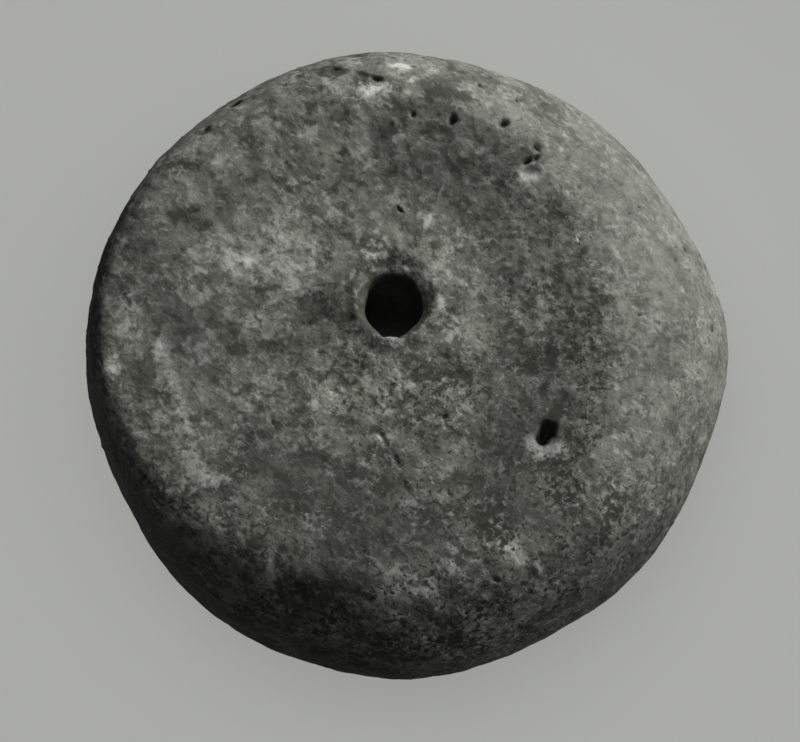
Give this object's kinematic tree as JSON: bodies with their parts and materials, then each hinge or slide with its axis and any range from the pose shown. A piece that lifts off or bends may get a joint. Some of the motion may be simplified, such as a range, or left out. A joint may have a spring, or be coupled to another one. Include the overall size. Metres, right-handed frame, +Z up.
{
  "type": "stone spindle whorl",
  "caption": "Thick round-edged stone disc with a dished upper face and an off-centre countersunk bore, a weight for a hand spindle.",
  "frame": {"origin": "on the flat resting spot of the underside, under the middle of the outline", "axes": "+Z up along the bore, out of the dished upper face; +X to the right and +Y away from a viewer who looks down on it"},
  "size_m": [0.0635, 0.0631, 0.0235],
  "materials": {
    "stone": "worn matt grey stone, finely pitted, with pale crust in its hollows"
  },
  "bodies": {
    "root": {"whorl": "stone"}
  },
  "joints": []
}
